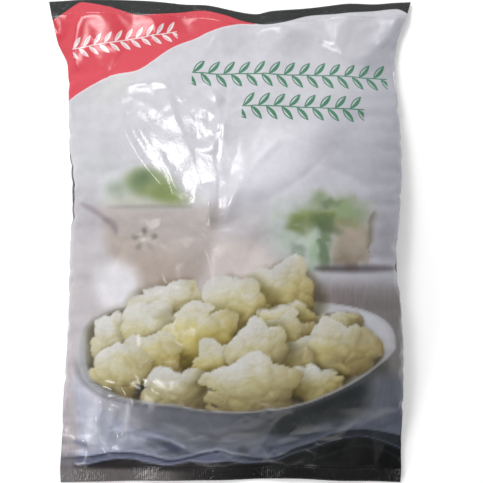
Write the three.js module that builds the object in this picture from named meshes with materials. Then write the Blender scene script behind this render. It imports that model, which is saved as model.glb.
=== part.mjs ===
// A pillow bag of frozen florets, lying on its back with the printed front up.
// One tube of plastic film, flattened and heat-sealed straight across at both ends, holds the frozen
// pieces and some trapped air. It cannot be seen into, so the filled bag is one closed solid.
// Millimetres: +X across the bag, +Y towards the top seal, +Z up. The origin is on the surface that the
// bag lies on, under the middle of its outline.
import * as THREE from "three";

// Driving dimensions
const sealDepth = 11; // width of the heat-sealed strip at each end
const filmPair = 0.9; // the two layers of a sealed strip, with the air caught between them
const fullHeight = 60; // thickness of the bag where it is fullest
const topSlope = 185; // distance from the top seal over which the slack end fills out
const bottomSlope = 92; // distance from the bottom seal over which the full end fills out
const foldShare = 0.42; // height of the side folds, as a share of the thickness there
const sealHeight = 7.5; // how high the seal lines lie over the floor
const sealDroop = 2.5; // how far the free edge of a sealed strip hangs below its seal line

// The outline seen from above: x of each side at heights y, and y of each end at shares across the bag
const leftSide = [
  [-180, -126],
  [-160, -125.2],
  [-128, -122.4],
  [-90, -118.8],
  [-48, -116.4],
  [-7, -115.6],
  [30, -113.8],
  [74, -116.9],
  [105, -118.2],
  [132, -120.4],
  [147, -127.2],
  [162, -130.8],
  [180, -135],
];
const rightSide = [
  [-180, 127.4],
  [-124, 126.8],
  [-76, 126.2],
  [-42, 124.2],
  [-17, 121.2],
  [22, 124],
  [62, 125.6],
  [92, 124.2],
  [128, 121.9],
  [150, 124.6],
  [168, 131],
  [180, 135],
];
const topEnd = [
  [-1, 178.8],
  [-0.78, 180],
  [-0.52, 179.4],
  [-0.28, 177],
  [-0.1, 172.8],
  [0.04, 168.6],
  [0.15, 166.8],
  [0.22, 168.8],
  [0.4, 171],
  [0.65, 174.6],
  [0.88, 177.2],
  [1, 178],
];
const bottomEnd = [
  [-1, -180],
  [-0.5, -179],
  [0, -178.4],
  [0.34, -177.2],
  [0.62, -178.8],
  [1, -180],
];

// Creases in the film: from and to points, how far the line bows to its left, its height and its width
const creases = [
  { from: [-71, 100], to: [-28, 27], bow: -5, height: 4.2, width: 5.5 },
  { from: [-84, 110], to: [-42, 113], bow: 2, height: 2.4, width: 4 },
  { from: [-18, 115], to: [-5, 99], bow: 2, height: 2.2, width: 3.5 },
  { from: [-6, 99], to: [-13, 60], bow: 3, height: 3, width: 5 },
  { from: [-15, 35], to: [-13, 12], bow: 0, height: 2.4, width: 3.5 },
  { from: [8, 41], to: [-3, 12], bow: -1, height: 2.8, width: 4 },
  { from: [41, 74], to: [8, 38], bow: -3, height: 2.4, width: 6 },
  { from: [75, 71], to: [16, 26], bow: 7, height: -2.6, width: 9 },
  { from: [130, 168], to: [88, 130], bow: 4, height: 3.4, width: 7 },
  { from: [6, 164], to: [86, 141], bow: 3, height: 2.4, width: 7 },
  { from: [-108, 172], to: [-114, 124], bow: -3, height: 3, width: 5 },
  { from: [-90, -105], to: [-108, -168], bow: -2, height: 3, width: 6 },
  { from: [-66, -104], to: [-82, -150], bow: 2, height: 2.4, width: 4.5 },
  { from: [60, -140], to: [61, -172], bow: 0, height: 2.6, width: 4.5 },
  { from: [104, -140], to: [106, -174], bow: 1, height: 2.4, width: 5 },
];
const creaseTip = 1.2; // radius of the rounded tip of every crease

// Florets that press against the film from inside
const floretCount = 46;
const floretField = { width: 220, length: 300, lowest: -152 }; // where the swellings lie
const floretReach = [15, 24]; // radius of the smallest and the largest swelling
const floretPush = [1.4, 3.4]; // height of the smallest and the largest swelling

// Pleats that run into the bag from its seals, as waves across the bag, and from its side folds
const endPleat = { height: 2.6, reach: 34, waves: [8.3, 17.9], shares: [0.6, 0.4], seamShare: 0.8 };
const sidePleat = { height: 2.2, reach: 17, lengths: [31, 19.5, 12.7], pull: 0.4 };

// How the section changes from the flat seals to the full middle of the bag
const bagHalfWidth = 120; // half width of the middle section
const bagRise = 34; // height of the front over the side folds there
const sealToBelly = 60; // distance from a seal to where the side folds have left its height
const sealToRound = 95; // distance from a seal to where the section has its full form
const roundnessAtSeal = 1.1;
const roundnessInside = 0.56;
const frontShare = 0.58; // share of the thickness that lies over the seam line
const backShare = 0.72; // the same under it, before the floor stops it
const fillPower = 2.2; // how suddenly the bag fills out behind a seal

// Steps of the mesh
const acrossFront = 52;
const acrossBack = acrossFront / 2;
const alongBag = 58;

// A smooth curve through [position, value] pairs: cubics whose slopes come from the neighbouring pairs.
function smoothCurve(pairs) {
  const slope = pairs.map((pair, i) => {
    const before = pairs[Math.max(i - 1, 0)];
    const after = pairs[Math.min(i + 1, pairs.length - 1)];
    return (after[1] - before[1]) / (after[0] - before[0]);
  });
  return (position) => {
    let i = 0;
    while (i < pairs.length - 2 && position > pairs[i + 1][0]) i += 1;
    const [start, from] = pairs[i];
    const [end, to] = pairs[i + 1];
    const gap = end - start;
    const t = Math.min(Math.max((position - start) / gap, 0), 1);
    const turn = t * t * (3 - 2 * t);
    return (
      from + (to - from) * turn +
      gap * (slope[i] * t * (1 - t) ** 2 - slope[i + 1] * t * t * (1 - t))
    );
  };
}

const leftAt = smoothCurve(leftSide);
const rightAt = smoothCurve(rightSide);
const topAt = smoothCurve(topEnd);
const bottomAt = smoothCurve(bottomEnd);
const mix = THREE.MathUtils.lerp;

// The fraction left of half and i irrational steps, which spreads values evenly over 0 to 1.
const fraction = (i, ratio) => (0.5 + i * ratio) % 1;
const irrational = { across: 0.7548776662, along: 0.569840291, reach: 0.4142135624, push: 0.3027756377 };

// Even steps from -1 to 1 along the arc of the bag's middle cross-section, as shares of its half width.
function evenShares(steps) {
  const fine = 2000;
  const angles = Array.from({ length: fine + 1 }, (_, i) => (Math.PI * i) / fine);
  const point = (angle) => new THREE.Vector2(-bagHalfWidth * Math.cos(angle), bagRise * Math.sin(angle));
  const length = [0];
  for (let i = 1; i <= fine; i += 1) {
    length.push(length[i - 1] + point(angles[i]).distanceTo(point(angles[i - 1])));
  }
  return Array.from({ length: steps + 1 }, (_, step) => {
    const wanted = (length[fine] * step) / steps;
    let i = 1;
    while (i < fine && length[i] < wanted) i += 1;
    const t = (wanted - length[i - 1]) / (length[i] - length[i - 1]);
    return -Math.cos(mix(angles[i - 1], angles[i], t));
  });
}

// How far the bag has filled out at a distance from a seal: 0 at the seal, 1 from the end of the slope on.
const filled = (distance, slope) => 1 - (1 - Math.min(Math.max(distance / slope, 0), 1)) ** fillPower;

// A rounded ridge along a bowed line that fades out at both of its ends.
function crease({ from, to, bow, height, width }) {
  const start = new THREE.Vector2(...from);
  const along = new THREE.Vector2(...to).sub(start);
  const length = along.length();
  along.normalize();
  return (x, y) => {
    const t = ((x - start.x) * along.x + (y - start.y) * along.y) / length;
    if (t <= 0 || t >= 1) return 0;
    const aside = (y - start.y) * along.x - (x - start.x) * along.y - 4 * bow * t * (1 - t);
    const fade = Math.sin(Math.PI * t) ** 0.7;
    return height * fade * Math.exp(-(Math.hypot(aside, creaseTip) - creaseTip) / width);
  };
}

// Swellings spread evenly over the bag by two irrational steps, so that no two rows line up.
const florets = Array.from({ length: floretCount }, (_, i) => ({
  x: floretField.width * (fraction(i, irrational.across) - 0.5),
  y: floretField.length * fraction(i, irrational.along) + floretField.lowest,
  reach: mix(...floretReach, fraction(i, irrational.reach)),
  push: mix(...floretPush, fraction(i, irrational.push)),
}));
const creaseAt = creases.map(crease);
const creased = (x, y) => creaseAt.reduce((sum, ridge) => sum + ridge(x, y), 0);
const swollen = (x, y) =>
  florets.reduce((most, one) => {
    const share = ((x - one.x) ** 2 + (y - one.y) ** 2) / one.reach ** 2;
    return Math.max(most, one.push * Math.exp(-share));
  }, 0);

// Uneven waves across an end of the bag, and short folds along a side.
const endWave = (across, turn) =>
  endPleat.shares[0] * Math.sin(endPleat.waves[0] * across + turn) +
  endPleat.shares[1] * Math.sin(endPleat.waves[1] * across + 2.1 * turn + 0.7);
const sideWave = (y, turn) =>
  sidePleat.lengths
    .map((length, i) => Math.sin((2 * Math.PI * y) / length + turn * (i + 1)) / sidePleat.lengths.length)
    .reduce((sum, wave) => sum + wave);

// A point of the film. across runs from -1 at the left fold to 1 at the right fold, along from 0 to 1.
function filmPoint(across, along, front) {
  const bottom = bottomAt(across);
  const top = topAt(across);
  const y = mix(bottom, top, along);
  const level = mix(bottomEnd[0][1], -bottomEnd[0][1], along);
  const left = leftAt(level);
  const right = rightAt(level);
  const fromTop = top - sealDepth - y;
  const fromBottom = y - bottom - sealDepth;
  const toSeal = Math.min(fromTop, fromBottom);
  const inside = THREE.MathUtils.smoothstep(toSeal, 0, sealToBelly);
  const turn = fromTop < fromBottom ? 0.9 : 3.7;
  const fromSide = 1 - Math.abs(across);

  const thickness = fullHeight * filled(fromTop, topSlope) * filled(fromBottom, bottomSlope);
  const rounded = THREE.MathUtils.smoothstep(toSeal, 0, sealToRound);
  const roundness = mix(roundnessAtSeal, roundnessInside, rounded);
  const belly = (1 - across * across) ** roundness;
  const pleat = endPleat.height * endWave(across, turn) * Math.exp(-Math.abs(toSeal) / endPleat.reach);
  const droop = sealDroop * Math.min(Math.max(-toSeal / sealDepth, 0), 1);
  const sealed = sealHeight + endPleat.seamShare * pleat - droop;
  const seam = mix(sealed, foldShare * thickness, inside);
  const half = filmPair / 2;

  const hem = Math.exp((-fromSide * bagHalfWidth) / sidePleat.reach) * inside;
  const side = sidePleat.height * hem * sideWave(y, across > 0 ? 1.3 : 4.2);
  const x = mix(left, right, (1 + across) / 2) - Math.sign(across) * sidePleat.pull * Math.max(side, 0);
  if (!front) {
    return new THREE.Vector3(x, y, Math.max(seam - backShare * thickness * belly - half, 0));
  }
  const spread = Math.min(1, fromSide / 0.2) * Math.min(Math.max(toSeal / 25, 0), 1);
  const relief = creased(x, y) * Math.min(1, fromSide / 0.05) + spread * swollen(x, y) + side * (1 - hem);
  const lifted = fromSide > 0 ? pleat * belly * Math.min(Math.max(toSeal / 12, 0), 1) : 0;
  const risen = seam + frontShare * thickness * belly + lifted + (toSeal > 0 ? relief : 0);
  return new THREE.Vector3(x, y, Math.max(risen, seam) + half);
}

// Rings of film points from end to end: over the front from fold to fold, then back underneath.
function bagGeometry() {
  const shares = evenShares(acrossFront);
  const ring = acrossFront + acrossBack;
  const positions = [];
  for (let row = 0; row <= alongBag; row += 1) {
    const along = row / alongBag;
    for (let i = 0; i <= acrossFront; i += 1) {
      const point = filmPoint(shares[i], along, true);
      if (i === 0 || i === acrossFront) point.z -= filmPair / 2;
      positions.push(...point);
    }
    for (let i = acrossBack - 1; i > 0; i -= 1) {
      positions.push(...filmPoint(shares[2 * i], along, false));
    }
  }
  const index = [];
  for (let row = 0; row < alongBag; row += 1) {
    for (let i = 0; i < ring; i += 1) {
      const a = row * ring + i;
      const b = row * ring + ((i + 1) % ring);
      index.push(a, b, b + ring, a, b + ring, a + ring);
    }
  }
  // Each end is closed by a strip between the edge of the front layer and that of the back layer.
  for (const [start, outward] of [[0, true], [alongBag * ring, false]]) {
    const under = (i) => (i === 0 ? start : i === acrossBack ? start + acrossFront : start + ring - i);
    for (let i = 0; i < acrossBack; i += 1) {
      const f = start + 2 * i;
      const strip = [[f, under(i), f + 1], [f + 1, under(i), under(i + 1)], [f + 1, under(i + 1), f + 2]];
      for (const [a, b, c] of strip) {
        if (a !== b && b !== c && a !== c) index.push(...(outward ? [a, b, c] : [a, c, b]));
      }
    }
  }
  const geometry = new THREE.BufferGeometry();
  geometry.setAttribute("position", new THREE.Float32BufferAttribute(positions, 3));
  geometry.setIndex(index);
  geometry.computeVertexNormals();
  return geometry;
}

const printedFilm = new THREE.MeshStandardMaterial({ color: 0xc9c7cc, roughness: 0.28, metalness: 0 });

const bag = new THREE.Mesh(bagGeometry(), printedFilm);
bag.name = "bag";

const frozenBag = new THREE.Group();
frozenBag.add(bag);
export default frozenBag;
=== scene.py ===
import math
import bpy
import numpy as np
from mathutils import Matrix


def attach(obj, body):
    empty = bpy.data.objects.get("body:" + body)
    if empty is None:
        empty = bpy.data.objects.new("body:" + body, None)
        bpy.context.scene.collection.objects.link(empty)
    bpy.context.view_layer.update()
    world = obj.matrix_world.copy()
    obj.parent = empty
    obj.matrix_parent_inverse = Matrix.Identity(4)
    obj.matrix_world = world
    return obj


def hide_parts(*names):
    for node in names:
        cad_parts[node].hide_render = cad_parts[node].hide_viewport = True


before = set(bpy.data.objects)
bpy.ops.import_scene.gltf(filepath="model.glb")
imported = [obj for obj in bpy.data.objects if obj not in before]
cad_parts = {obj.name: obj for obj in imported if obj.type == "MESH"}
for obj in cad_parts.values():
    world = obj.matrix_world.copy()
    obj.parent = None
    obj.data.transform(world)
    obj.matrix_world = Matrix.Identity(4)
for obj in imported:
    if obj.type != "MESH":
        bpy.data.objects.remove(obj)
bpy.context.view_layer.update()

# The camera hangs straight over the bag, as the photograph was taken, and takes in the bag from its
# bottom seal to its top seal. Its height and its field of view are those of a close shot by hand.
camera_place = (0.0088, -0.0004, 0.85)
view_width = 0.3553
film_level = 0.015
camera_lens = bpy.data.cameras.new("camera")
camera_lens.sensor_width = 36
camera_lens.lens = camera_lens.sensor_width * (camera_place[2] - film_level) / view_width
camera = bpy.data.objects.new("camera", camera_lens)
camera.location = camera_place
bpy.context.scene.collection.objects.link(camera)
bpy.context.scene.camera = camera
bpy.context.scene.view_settings.view_transform = "Standard"

# The bag is one tube of plastic film, flattened and heat-sealed straight across at both ends over its
# filling. Here it is a grid of points: rings round the tube, in millimetres, from the bottom to the top.
seal_depth = 11.0
film_pair = 0.9
full_height = 60.0
top_slope = 185.0
bottom_slope = 92.0
fold_share = 0.42
seal_height = 7.5
seal_droop = 2.5
left_side = [(-180, -126), (-160, -125.2), (-128, -122.4), (-90, -118.8), (-48, -116.4), (-7, -115.6),
             (30, -113.8), (74, -116.9), (105, -118.2), (132, -120.4), (147, -127.2), (162, -130.8),
             (180, -135)]
right_side = [(-180, 127.4), (-124, 126.8), (-76, 126.2), (-42, 124.2), (-17, 121.2), (22, 124),
              (62, 125.6), (92, 124.2), (128, 121.9), (150, 124.6), (168, 131), (180, 135)]
top_end = [(-1, 178.8), (-0.78, 180), (-0.52, 179.4), (-0.28, 177), (-0.1, 172.8), (0.04, 168.6),
           (0.15, 166.8), (0.22, 168.8), (0.4, 171), (0.65, 174.6), (0.88, 177.2), (1, 178)]
bottom_end = [(-1, -180), (-0.5, -179), (0, -178.4), (0.34, -177.2), (0.62, -178.8), (1, -180)]

# Creases: from, to, how far the line bows to its left, its height and its width
main_creases = [
    ((-71, 100), (-28, 27), -5, 4.2, 5.5), ((-84, 110), (-42, 113), 2, 2.4, 4),
    ((-18, 115), (-5, 99), 2, 2.2, 3.5), ((-6, 99), (-13, 60), 3, 3, 5),
    ((-15, 35), (-13, 12), 0, 2.4, 3.5), ((8, 41), (-3, 12), -1, 2.8, 4),
    ((41, 74), (8, 38), -3, 2.4, 6), ((75, 71), (16, 26), 7, -2.6, 9),
    ((130, 168), (88, 130), 4, 3.4, 7), ((6, 164), (86, 141), 3, 2.4, 7),
    ((-108, 172), (-114, 124), -3, 3, 5), ((-90, -105), (-108, -168), -2, 3, 6),
    ((-66, -104), (-82, -150), 2, 2.4, 4.5), ((60, -140), (61, -172), 0, 2.6, 4.5),
    ((104, -140), (106, -174), 1, 2.4, 5)]
crease_tip = 2.0
floret_count = 46


def smooth_curve(pairs, position):
    """A smooth curve through (position, value) pairs: cubics whose slopes come from the neighbours."""
    knots, values = np.array(pairs, float).T
    last = len(knots) - 1
    before = np.maximum(np.arange(last + 1) - 1, 0)
    after = np.minimum(np.arange(last + 1) + 1, last)
    slope = (values[after] - values[before]) / (knots[after] - knots[before])
    i = np.clip(np.searchsorted(knots, position) - 1, 0, last - 1)
    gap = knots[i + 1] - knots[i]
    t = np.clip((position - knots[i]) / gap, 0, 1)
    turn = t * t * (3 - 2 * t)
    bend = slope[i] * t * (1 - t) ** 2 - slope[i + 1] * t * t * (1 - t)
    return values[i] + (values[i + 1] - values[i]) * turn + gap * bend


def smoothstep(x, low, high):
    """0 below low, 1 above high, and 3t^2 - 2t^3 between them."""
    t = np.clip((x - low) / (high - low), 0, 1)
    return t * t * (3 - 2 * t)


def even_shares(steps):
    """Even steps along half an ellipse as wide and high as the bag, as shares of its half width."""
    half_width, rise = 120, 34
    angle = np.linspace(0, math.pi, 2001)
    x, z = -half_width * np.cos(angle), rise * np.sin(angle)
    length = np.concatenate([[0], np.cumsum(np.hypot(np.diff(x), np.diff(z)))])
    return -np.cos(np.interp(np.linspace(0, length[-1], steps + 1), length, angle))


def filled(distance, slope):
    """How far the bag has filled out at a distance from a seal: 1 - (1 - distance / slope)^2.2."""
    return 1 - (1 - np.clip(distance / slope, 0, 1)) ** 2.2


def beside(x, y, start, end, bow):
    """Places by a bowed line: the share of the way along it, the distance aside of it, and its length."""
    start, end = np.array(start, float), np.array(end, float)
    along = end - start
    length = np.hypot(*along)
    along /= length
    t = ((x - start[0]) * along[0] + (y - start[1]) * along[1]) / length
    aside = (y - start[1]) * along[0] - (x - start[0]) * along[1] - 4 * bow * t * (1 - t)
    return t, aside, length


def crease(x, y, start, end, bow, height, width):
    """A rounded ridge along a bowed line: its height falls off aside as e^(-distance / width)."""
    t, aside = beside(x, y, start, end, bow)[:2]
    fade = np.sin(np.pi * np.clip(t, 0, 1)) ** 0.7
    return height * fade * np.exp(-(np.hypot(aside, crease_tip) - crease_tip) / width)


def fraction(i, ratio):
    """The fraction left of half and i irrational steps, which spreads values evenly over 0 to 1."""
    return (0.5 + i * ratio) % 1


def swollen(x, y):
    """The highest of the Gaussian swellings that the florets press into the film."""
    most = np.zeros_like(x)
    for i in range(floret_count):
        middle = 220 * fraction(i, 0.7548776662) - 110, 300 * fraction(i, 0.569840291) - 152
        reach = 15 + 9 * fraction(i, 0.4142135624)
        push = 1.4 + 2.0 * fraction(i, 0.3027756377)
        away = (x - middle[0]) ** 2 + (y - middle[1]) ** 2
        most = np.maximum(most, push * np.exp(-away / reach ** 2))
    return most


def end_wave(across, turn):
    """Uneven waves across an end of the bag: two sines whose lengths don't match."""
    return 0.6 * np.sin(8.3 * across + turn) + 0.4 * np.sin(17.9 * across + 2.1 * turn + 0.7)


def side_wave(y, turn):
    """Short folds along a side: the mean of three sines."""
    lengths = (31, 19.5, 12.7)
    return sum(np.sin(2 * math.pi * y / length + turn * (i + 1)) for i, length in enumerate(lengths)) / 3


def film_point(across, along, front):
    """Points of the filled bag in millimetres.

    across runs from -1 at the left fold to 1 at the right fold, along from 0 to 1 and front is True
    on the printed side. The film stands over and under a seam line by shares of a thickness, which
    grows from both seals, times (1 - across^2) to a power that makes the section fuller inside.
    """
    bottom, top = smooth_curve(bottom_end, across), smooth_curve(top_end, across)
    y = bottom + (top - bottom) * along
    level = -180 + 360 * along
    left, right = smooth_curve(left_side, level), smooth_curve(right_side, level)
    from_top, from_bottom = top - seal_depth - y, y - bottom - seal_depth
    to_seal = np.minimum(from_top, from_bottom)
    inside = smoothstep(to_seal, 0, 60)
    turn = np.where(from_top < from_bottom, 0.9, 3.7)
    from_side = 1 - np.abs(across)
    thickness = full_height * filled(from_top, top_slope) * filled(from_bottom, bottom_slope)
    roundness = 1.1 - 0.54 * smoothstep(to_seal, 0, 95)
    belly = np.clip(1 - across ** 2, 0, 1) ** roundness
    pleat = 2.6 * end_wave(across, turn) * np.exp(-np.abs(to_seal) / 34)
    seam = seal_height + 0.8 * pleat - seal_droop * np.clip(-to_seal / seal_depth, 0, 1)
    seam = seam + (fold_share * thickness - seam) * inside
    half = film_pair / 2
    hem = np.exp(-from_side * 120 / 17) * inside
    side = 2.2 * hem * side_wave(y, np.where(across > 0, 1.3, 4.2))
    x = left + (right - left) * (1 + across) / 2 - np.sign(across) * 0.4 * np.maximum(side, 0)
    back = np.maximum(seam - 0.72 * thickness * belly - half, 0)
    spread = np.minimum(1, from_side / 0.2) * np.clip(to_seal / 25, 0, 1)
    ridges = sum(crease(x, y, *one) for one in main_creases) * np.minimum(1, from_side / 0.05)
    relief = spread * swollen(x, y) + side * (1 - hem) + ridges
    on_fold = from_side < 1e-9
    lifted = np.where(on_fold, 0, pleat * belly * np.clip(to_seal / 12, 0, 1))
    risen = seam + 0.58 * thickness * belly + lifted + np.where(to_seal > 0, relief, 0)
    over = np.maximum(risen, seam) + np.where(on_fold, 0, half)
    return np.stack([x, y, np.where(front, over, back)], -1), to_seal


coarse_front = 120
front_to_back = 3
coarse_rows = 140
shares = even_shares(coarse_front)
ring_across = np.concatenate([shares, shares[::-front_to_back][1:-1]])
ring_front = np.arange(len(ring_across)) <= coarse_front
across, along = np.meshgrid(ring_across, np.linspace(0, 1, coarse_rows + 1))
front = np.broadcast_to(ring_front, across.shape)
filled_bag, to_seal = film_point(across, along, front)

# The same film laid flat, before it was filled: a pouch of its cut width and length
pouch_half_width = 133.0
pouch_half_length = 180.0
flat_step = np.concatenate([np.linspace(-1, 1, coarse_front + 1),
                            np.linspace(1, -1, coarse_front // front_to_back + 1)[1:-1]])
flat_x, flat_y = np.meshgrid(flat_step * pouch_half_width,
                             np.linspace(-pouch_half_length, pouch_half_length, coarse_rows + 1))
flat_pouch = np.stack([flat_x, flat_y, np.where(front, 0.4, -0.4)], -1)


def tube_faces(rows, ring, front_steps):
    """Quads round and along a tube of rings, and at both ends a strip between its two layers."""
    i = np.arange(ring)
    r = np.arange(rows)[:, None] * ring
    quads = np.stack([r + i, r + (i + 1) % ring, r + ring + (i + 1) % ring, r + ring + i], -1)
    faces = quads.reshape(-1, 4).tolist()
    back_steps = ring - front_steps
    ratio = front_steps // back_steps
    over = np.arange(back_steps)[:, None] * ratio + np.arange(ratio + 1)
    under = (ring - np.arange(back_steps + 1)) % ring
    under[-1] = front_steps
    for start, outward in ((0, True), (rows * ring, False)):
        strip = np.concatenate([over, under[1:, None], under[:-1, None]], 1) + start
        for face in strip.tolist():
            face = list(dict.fromkeys(face))
            faces.append(face[::-1] if outward else face)
    return faces


def mesh_object(name, points, faces):
    """An object of that name in the scene, from points in millimetres and its faces."""
    mesh = bpy.data.meshes.new(name)
    mesh.from_pydata((points.reshape(-1, 3) * 0.001).tolist(), [], faces)
    mesh.update()
    made = bpy.data.objects.new(name, mesh)
    bpy.context.scene.collection.objects.link(made)
    return made


# The filling has pushed the flat film out, and where the film has length to spare it buckles into soft
# folds. Cloth simulation finds them: the filled shape is the start and the seals and the part that the
# bag lies on stay where they are.
slack_places = [((-35, 66), (42, 50), 1.0), ((-92, -142), (22, 34), 0.9), ((30, 82), (26, 20), 0.5),
                ((62, -152), (22, 16), 0.5), ((-62, -92), (26, 26), 0.5)]


def slack_at(x, y):
    """Where the film is loose: the highest of Gaussian patches, from 0 to 1."""
    loose = np.zeros_like(x)
    for middle, reach, most in slack_places:
        away = ((x - middle[0]) / reach[0]) ** 2 + ((y - middle[1]) / reach[1]) ** 2
        loose = np.maximum(loose, most * np.exp(-away))
    return loose


def weight_group(piece, name, weights, steps):
    """A vertex group from an array of weights, rounded to that many steps."""
    group = piece.vertex_groups.new(name=name)
    rounded = np.round(weights.ravel() * steps).astype(int)
    for level in np.unique(rounded[rounded > 0]):
        group.add(np.nonzero(rounded == level)[0].tolist(), level / steps, "REPLACE")
    return group


def buckled(points):
    """The points after twenty-four steps of cloth simulation, moved by at most the cap."""
    cap = 6.0
    sheet = mesh_object("film at start", points, tube_faces(coarse_rows, len(ring_across), coarse_front))
    held = np.where((to_seal < 0) | (~front & (points[..., 2] < 0.01)), 1.0, 0.0)
    held = np.maximum(held, np.where(np.abs(across) > 0.9999, 0.5, 0.0))
    weight_group(sheet, "held", held, 2)
    weight_group(sheet, "slack", slack_at(points[..., 0], points[..., 1]) * front, 20)
    cloth = sheet.modifiers.new("film", "CLOTH")
    film = cloth.settings
    film.quality = 6
    film.mass = 0.05
    film.tension_stiffness = 40
    film.compression_stiffness = 40
    film.shear_stiffness = 20
    film.bending_stiffness = 0.08
    film.tension_damping = 8
    film.compression_damping = 8
    film.shear_damping = 8
    film.bending_damping = 0.5
    film.air_damping = 4
    film.vertex_group_mass = "held"
    film.pin_stiffness = 5
    film.use_pressure = True
    film.uniform_pressure_force = 0.4
    film.vertex_group_shrink = "slack"
    film.shrink_min = -0.006
    film.shrink_max = -0.2
    film.effector_weights.gravity = 0
    cloth.collision_settings.use_collision = False
    cloth.collision_settings.use_self_collision = False
    steps = 24
    cloth.point_cache.frame_start = 1
    cloth.point_cache.frame_end = steps + 1
    for step in range(1, steps + 1):
        bpy.context.scene.frame_set(step)
    settled = sheet.evaluated_get(bpy.context.evaluated_depsgraph_get())
    places = np.empty(points.size)
    settled.data.vertices.foreach_get("co", places)
    moved = places.reshape(points.shape) * 1000 - points
    far = np.linalg.norm(moved, axis=-1, keepdims=True)
    moved *= np.minimum(1, cap / np.maximum(far, 1e-9))
    mesh = sheet.data
    bpy.data.objects.remove(sheet)
    bpy.data.meshes.remove(mesh)
    bpy.context.scene.frame_set(1)
    return points + moved


settled_bag = buckled(filled_bag)


def twice_round(grid):
    """Doubles the points round each ring: each new one is (-1, 9, 9, -1) / 16 of its neighbours."""
    between = (9 * (grid + np.roll(grid, -1, 1)) - np.roll(grid, 1, 1) - np.roll(grid, -2, 1)) / 16
    return np.stack([grid, between], 2).reshape((grid.shape[0], -1) + grid.shape[2:])


def twice_along(grid):
    """Doubles the rows in the same way, with straight steps beyond both ends."""
    padded = np.concatenate([2 * grid[:1] - grid[1:2], grid, 2 * grid[-1:] - grid[-2:-1]])
    between = (9 * (padded[1:-2] + padded[2:-1]) - padded[:-3] - padded[3:]) / 16
    doubled = np.empty((2 * grid.shape[0] - 1,) + grid.shape[1:])
    doubled[::2] = grid
    doubled[1::2] = between
    return doubled


def finer(grid):
    """Twice the points, both round the rings and along them."""
    return twice_along(twice_round(grid))


film_points = finer(settled_bag)
print_points = finer(filled_bag)
flat_points = finer(flat_pouch)
seal_gap = finer(to_seal)
fine_front = 2 * coarse_front
fine_ring = 2 * len(ring_across)
fine_rows = 2 * coarse_rows
on_front = np.broadcast_to(np.arange(fine_ring) <= fine_front, seal_gap.shape)
print_x, print_y = print_points[..., 0], print_points[..., 1]
film_x = flat_points[..., 0]
from_fold = pouch_half_width - np.abs(film_x)


def eased(grid):
    """Each row and then each column as (1, 2, 1) / 4 of itself and its neighbours; both ends stay."""
    rows = grid.copy()
    rows[1:-1] = (grid[:-2] + 2 * grid[1:-1] + grid[2:]) / 4
    return (np.roll(rows, 1, 1) + 2 * rows + np.roll(rows, -1, 1)) / 4


easing = smoothstep(from_fold, 4, 12) * on_front
film_points[..., 2] += easing * (eased(eased(film_points[..., 2])) - film_points[..., 2])


# Small crinkles: loose film breaks into flat facets with edges between them, and pleats fan out from the
# point where the filling stops and the slack film above it is gathered
def scatter(i, j, seed):
    """A fixed number from 0 to 1 for each cell of a grid: the fraction of a large sine."""
    return (np.sin(i * 127.1 + j * 311.7 + seed * 74.7) * 43758.5453) % 1


def cells(u, v, seed):
    """The nine cells round each point of a unit grid: their numbers, and the steps from their centres."""
    for step_u in (-1, 0, 1):
        for step_v in (-1, 0, 1):
            i, j = np.floor(u) + step_u, np.floor(v) + step_v
            yield i, j, u - i - scatter(i, j, seed), v - j - scatter(i, j, seed + 1)


def facets(x, y, size, tilt, seed):
    """Heights of tilted facets: planes through scattered cell centres, each weighed by its nearness."""
    sharpness = 9.0
    total = np.zeros_like(x)
    height = np.zeros_like(x)
    for i, j, from_u, from_v in cells(x / size, y / size, seed):
        weight = np.exp(-sharpness * (from_u ** 2 + from_v ** 2))
        lean_u, lean_v = scatter(i, j, seed + 2) - 0.5, scatter(i, j, seed + 3) - 0.5
        height += weight * (lean_u * from_u + lean_v * from_v)
        total += weight
    return height / total * size * tilt * 2


def gathered(x, y, point, angle, growth, tilt, seed):
    """Facets in rings round a point: each spans that angle in degrees, and grows with its distance."""
    widest = 12.0
    nearest = 8.0
    reach = np.hypot(x - point[0], y - point[1])
    turn = np.degrees(np.arctan2(y - point[1], x - point[0]))
    rings = np.log(np.maximum(reach, nearest) / nearest) / growth
    width = np.minimum(reach * math.radians(angle), widest)
    height = facets(turn / angle, rings, 1.0, tilt, seed) * width
    height *= smoothstep(turn, 60, 72) * smoothstep(turn, 136, 127)
    return height * smoothstep(reach, 6, 16) * smoothstep(reach, 125, 105)


turned_x, turned_y = 0.8 * print_x + 0.6 * print_y, 0.75 * (0.8 * print_y - 0.6 * print_x)
least_crinkled = 0.08
loose = smoothstep(slack_at(print_x, print_y), 0.15, 0.75)
crinkled = (least_crinkled + (1 - least_crinkled) * loose) * smoothstep(seal_gap, 0, 12)
# The gathered patch in the upper middle, and the film below it
gathering = smoothstep(print_x, -92, -76) * smoothstep(print_x, 30, 10)
gathering = gathering * smoothstep(print_y, 6, 22) * smoothstep(print_y, 124, 108)
elsewhere = crinkled * (1 - smoothstep(print_y, -20, 6)) + least_crinkled
# Pleats as their foot, angle, growth, tilt and seed, and facets as size, tilt and seed and where they are
pleats = ((-10.2, 0.2), 9.59, 0.881, 0.196, 191)
crinkle_sets = [(11.1, 0.03, 247, gathering), (6.0, 0.02, 341, gathering),
                (13.0, 0.17, 0, elsewhere), (6.5, 0.12, 5, elsewhere)]
crinkles = gathered(print_x, print_y, *pleats)
for size, tilt, seed, where in crinkle_sets:
    crinkles += facets(turned_x, turned_y, size, tilt, seed) * where
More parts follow.
